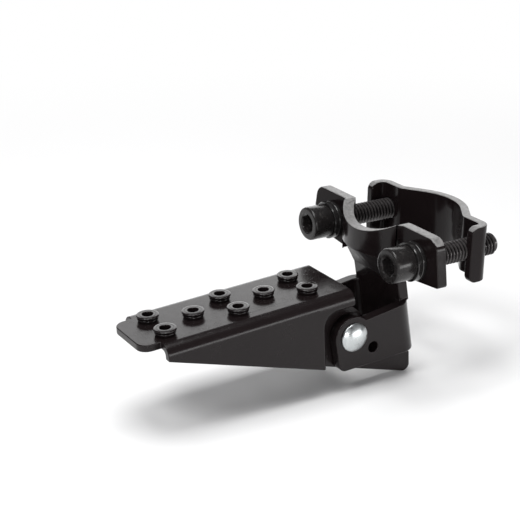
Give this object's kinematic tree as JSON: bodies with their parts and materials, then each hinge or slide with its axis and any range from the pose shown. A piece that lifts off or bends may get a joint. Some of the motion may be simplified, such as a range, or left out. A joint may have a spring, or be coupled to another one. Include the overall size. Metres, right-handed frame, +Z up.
{
  "type": "motorcycle footpeg",
  "caption": "Folding motorcycle footpeg: tapered channel tread with hollow grip studs, riveted in a bracket with a two-part clamp for a round tube.",
  "frame": {"origin": "middle of the clamped tube's bore, level with the two clamp screws", "axes": "+Z up along the clamped tube, +X from the tip of the peg towards the clamp along the screws, +Y along the pivot"},
  "size_m": [0.1349, 0.076, 0.0595],
  "materials": {
    "tread_coat": "gloss",
    "stud_coat": "gloss",
    "bracket_coat": "gloss",
    "strap_coat": "gloss",
    "rivet_zinc": "polished",
    "screw_black_oxide": "satin",
    "washer_black": "satin"
  },
  "bodies": {
    "clamp_bracket": {"pivot_bracket": "bracket_coat", "pivot_rivet": "rivet_zinc", "screw_near": "screw_black_oxide", "spring_washer_near": "washer_black", "flat_washer_near": "washer_black", "screw_far": "screw_black_oxide", "spring_washer_far": "washer_black", "flat_washer_far": "washer_black"},
    "peg": {"footpeg_tread": "tread_coat", "stud_1": "stud_coat", "stud_2": "stud_coat", "stud_3": "stud_coat", "stud_4": "stud_coat", "stud_5": "stud_coat", "stud_6": "stud_coat", "stud_7": "stud_coat", "stud_8": "stud_coat"},
    "rear_clamp": {"rear_clamp_strap": "strap_coat"}
  },
  "joints": [
    {"name": "peg_fold", "type": "hinge", "parent": "clamp_bracket", "child": "peg", "pos_m": [-0.0334, 0, -0.0279], "axis": [0, 1, 0], "range_deg": [0, 50]},
    {"name": "clamp_close", "type": "slide", "parent": "clamp_bracket", "child": "rear_clamp", "axis": [-1, 0, 0], "range_m": [0, 0.0148]}
  ]
}
